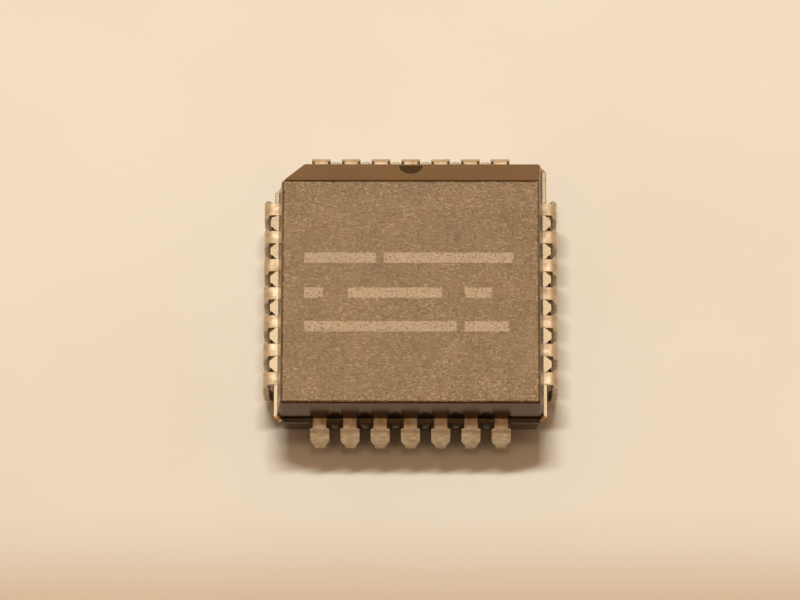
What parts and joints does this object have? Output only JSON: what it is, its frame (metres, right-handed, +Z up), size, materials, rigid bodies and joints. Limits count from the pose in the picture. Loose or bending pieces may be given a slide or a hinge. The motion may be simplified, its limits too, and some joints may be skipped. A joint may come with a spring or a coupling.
{
  "type": "analog multiplexer chip",
  "caption": "Square plastic chip carrier with J-shaped leads on all four sides, a sloping keyed edge and a cut corner, holding an analog multiplexer die on its lead frame.",
  "frame": {"origin": "middle of the footprint on the seating plane, where the undersides of the J leads touch the board", "axes": "+Z up out of the board, +Y towards the side with the sloping edge and pin 1, +X along that side; the cut corner is at -X +Y"},
  "size_m": [0.0124, 0.0124, 0.0044],
  "materials": {
    "mould_compound": "fine matt top, smooth sides",
    "tin_plated_copper": "satin tin plate",
    "copper_alloy": "stamped strip",
    "silver_epoxy": "cured paste",
    "silicon": "polished",
    "gold_wire": "drawn"
  },
  "bodies": {
    "root": {"body": "mould_compound", "lead_01": "tin_plated_copper", "lead_02": "tin_plated_copper", "lead_03": "tin_plated_copper", "lead_04": "tin_plated_copper", "lead_05": "tin_plated_copper", "lead_06": "tin_plated_copper", "lead_07": "tin_plated_copper", "lead_08": "tin_plated_copper", "lead_09": "tin_plated_copper", "lead_10": "tin_plated_copper", "lead_11": "tin_plated_copper", "lead_12": "tin_plated_copper", "lead_13": "tin_plated_copper", "lead_14": "tin_plated_copper", "lead_15": "tin_plated_copper", "lead_16": "tin_plated_copper", "lead_17": "tin_plated_copper", "lead_18": "tin_plated_copper", "lead_19": "tin_plated_copper", "lead_20": "tin_plated_copper", "lead_21": "tin_plated_copper", "lead_22": "tin_plated_copper", "lead_23": "tin_plated_copper", "lead_24": "tin_plated_copper", "lead_25": "tin_plated_copper", "lead_26": "tin_plated_copper", "lead_27": "tin_plated_copper", "lead_28": "tin_plated_copper", "die_paddle": "copper_alloy", "die_attach": "silver_epoxy", "die": "silicon", "bond_wire_01": "gold_wire", "bond_wire_04": "gold_wire", "bond_wire_05": "gold_wire", "bond_wire_06": "gold_wire", "bond_wire_07": "gold_wire", "bond_wire_08": "gold_wire", "bond_wire_09": "gold_wire", "bond_wire_10": "gold_wire", "bond_wire_11": "gold_wire", "bond_wire_12": "gold_wire", "bond_wire_14": "gold_wire", "bond_wire_15": "gold_wire", "bond_wire_16": "gold_wire", "bond_wire_17": "gold_wire", "bond_wire_18": "gold_wire", "bond_wire_19": "gold_wire", "bond_wire_20": "gold_wire", "bond_wire_21": "gold_wire", "bond_wire_22": "gold_wire", "bond_wire_23": "gold_wire", "bond_wire_24": "gold_wire", "bond_wire_25": "gold_wire", "bond_wire_26": "gold_wire", "bond_wire_27": "gold_wire", "bond_wire_28": "gold_wire"}
  },
  "joints": []
}
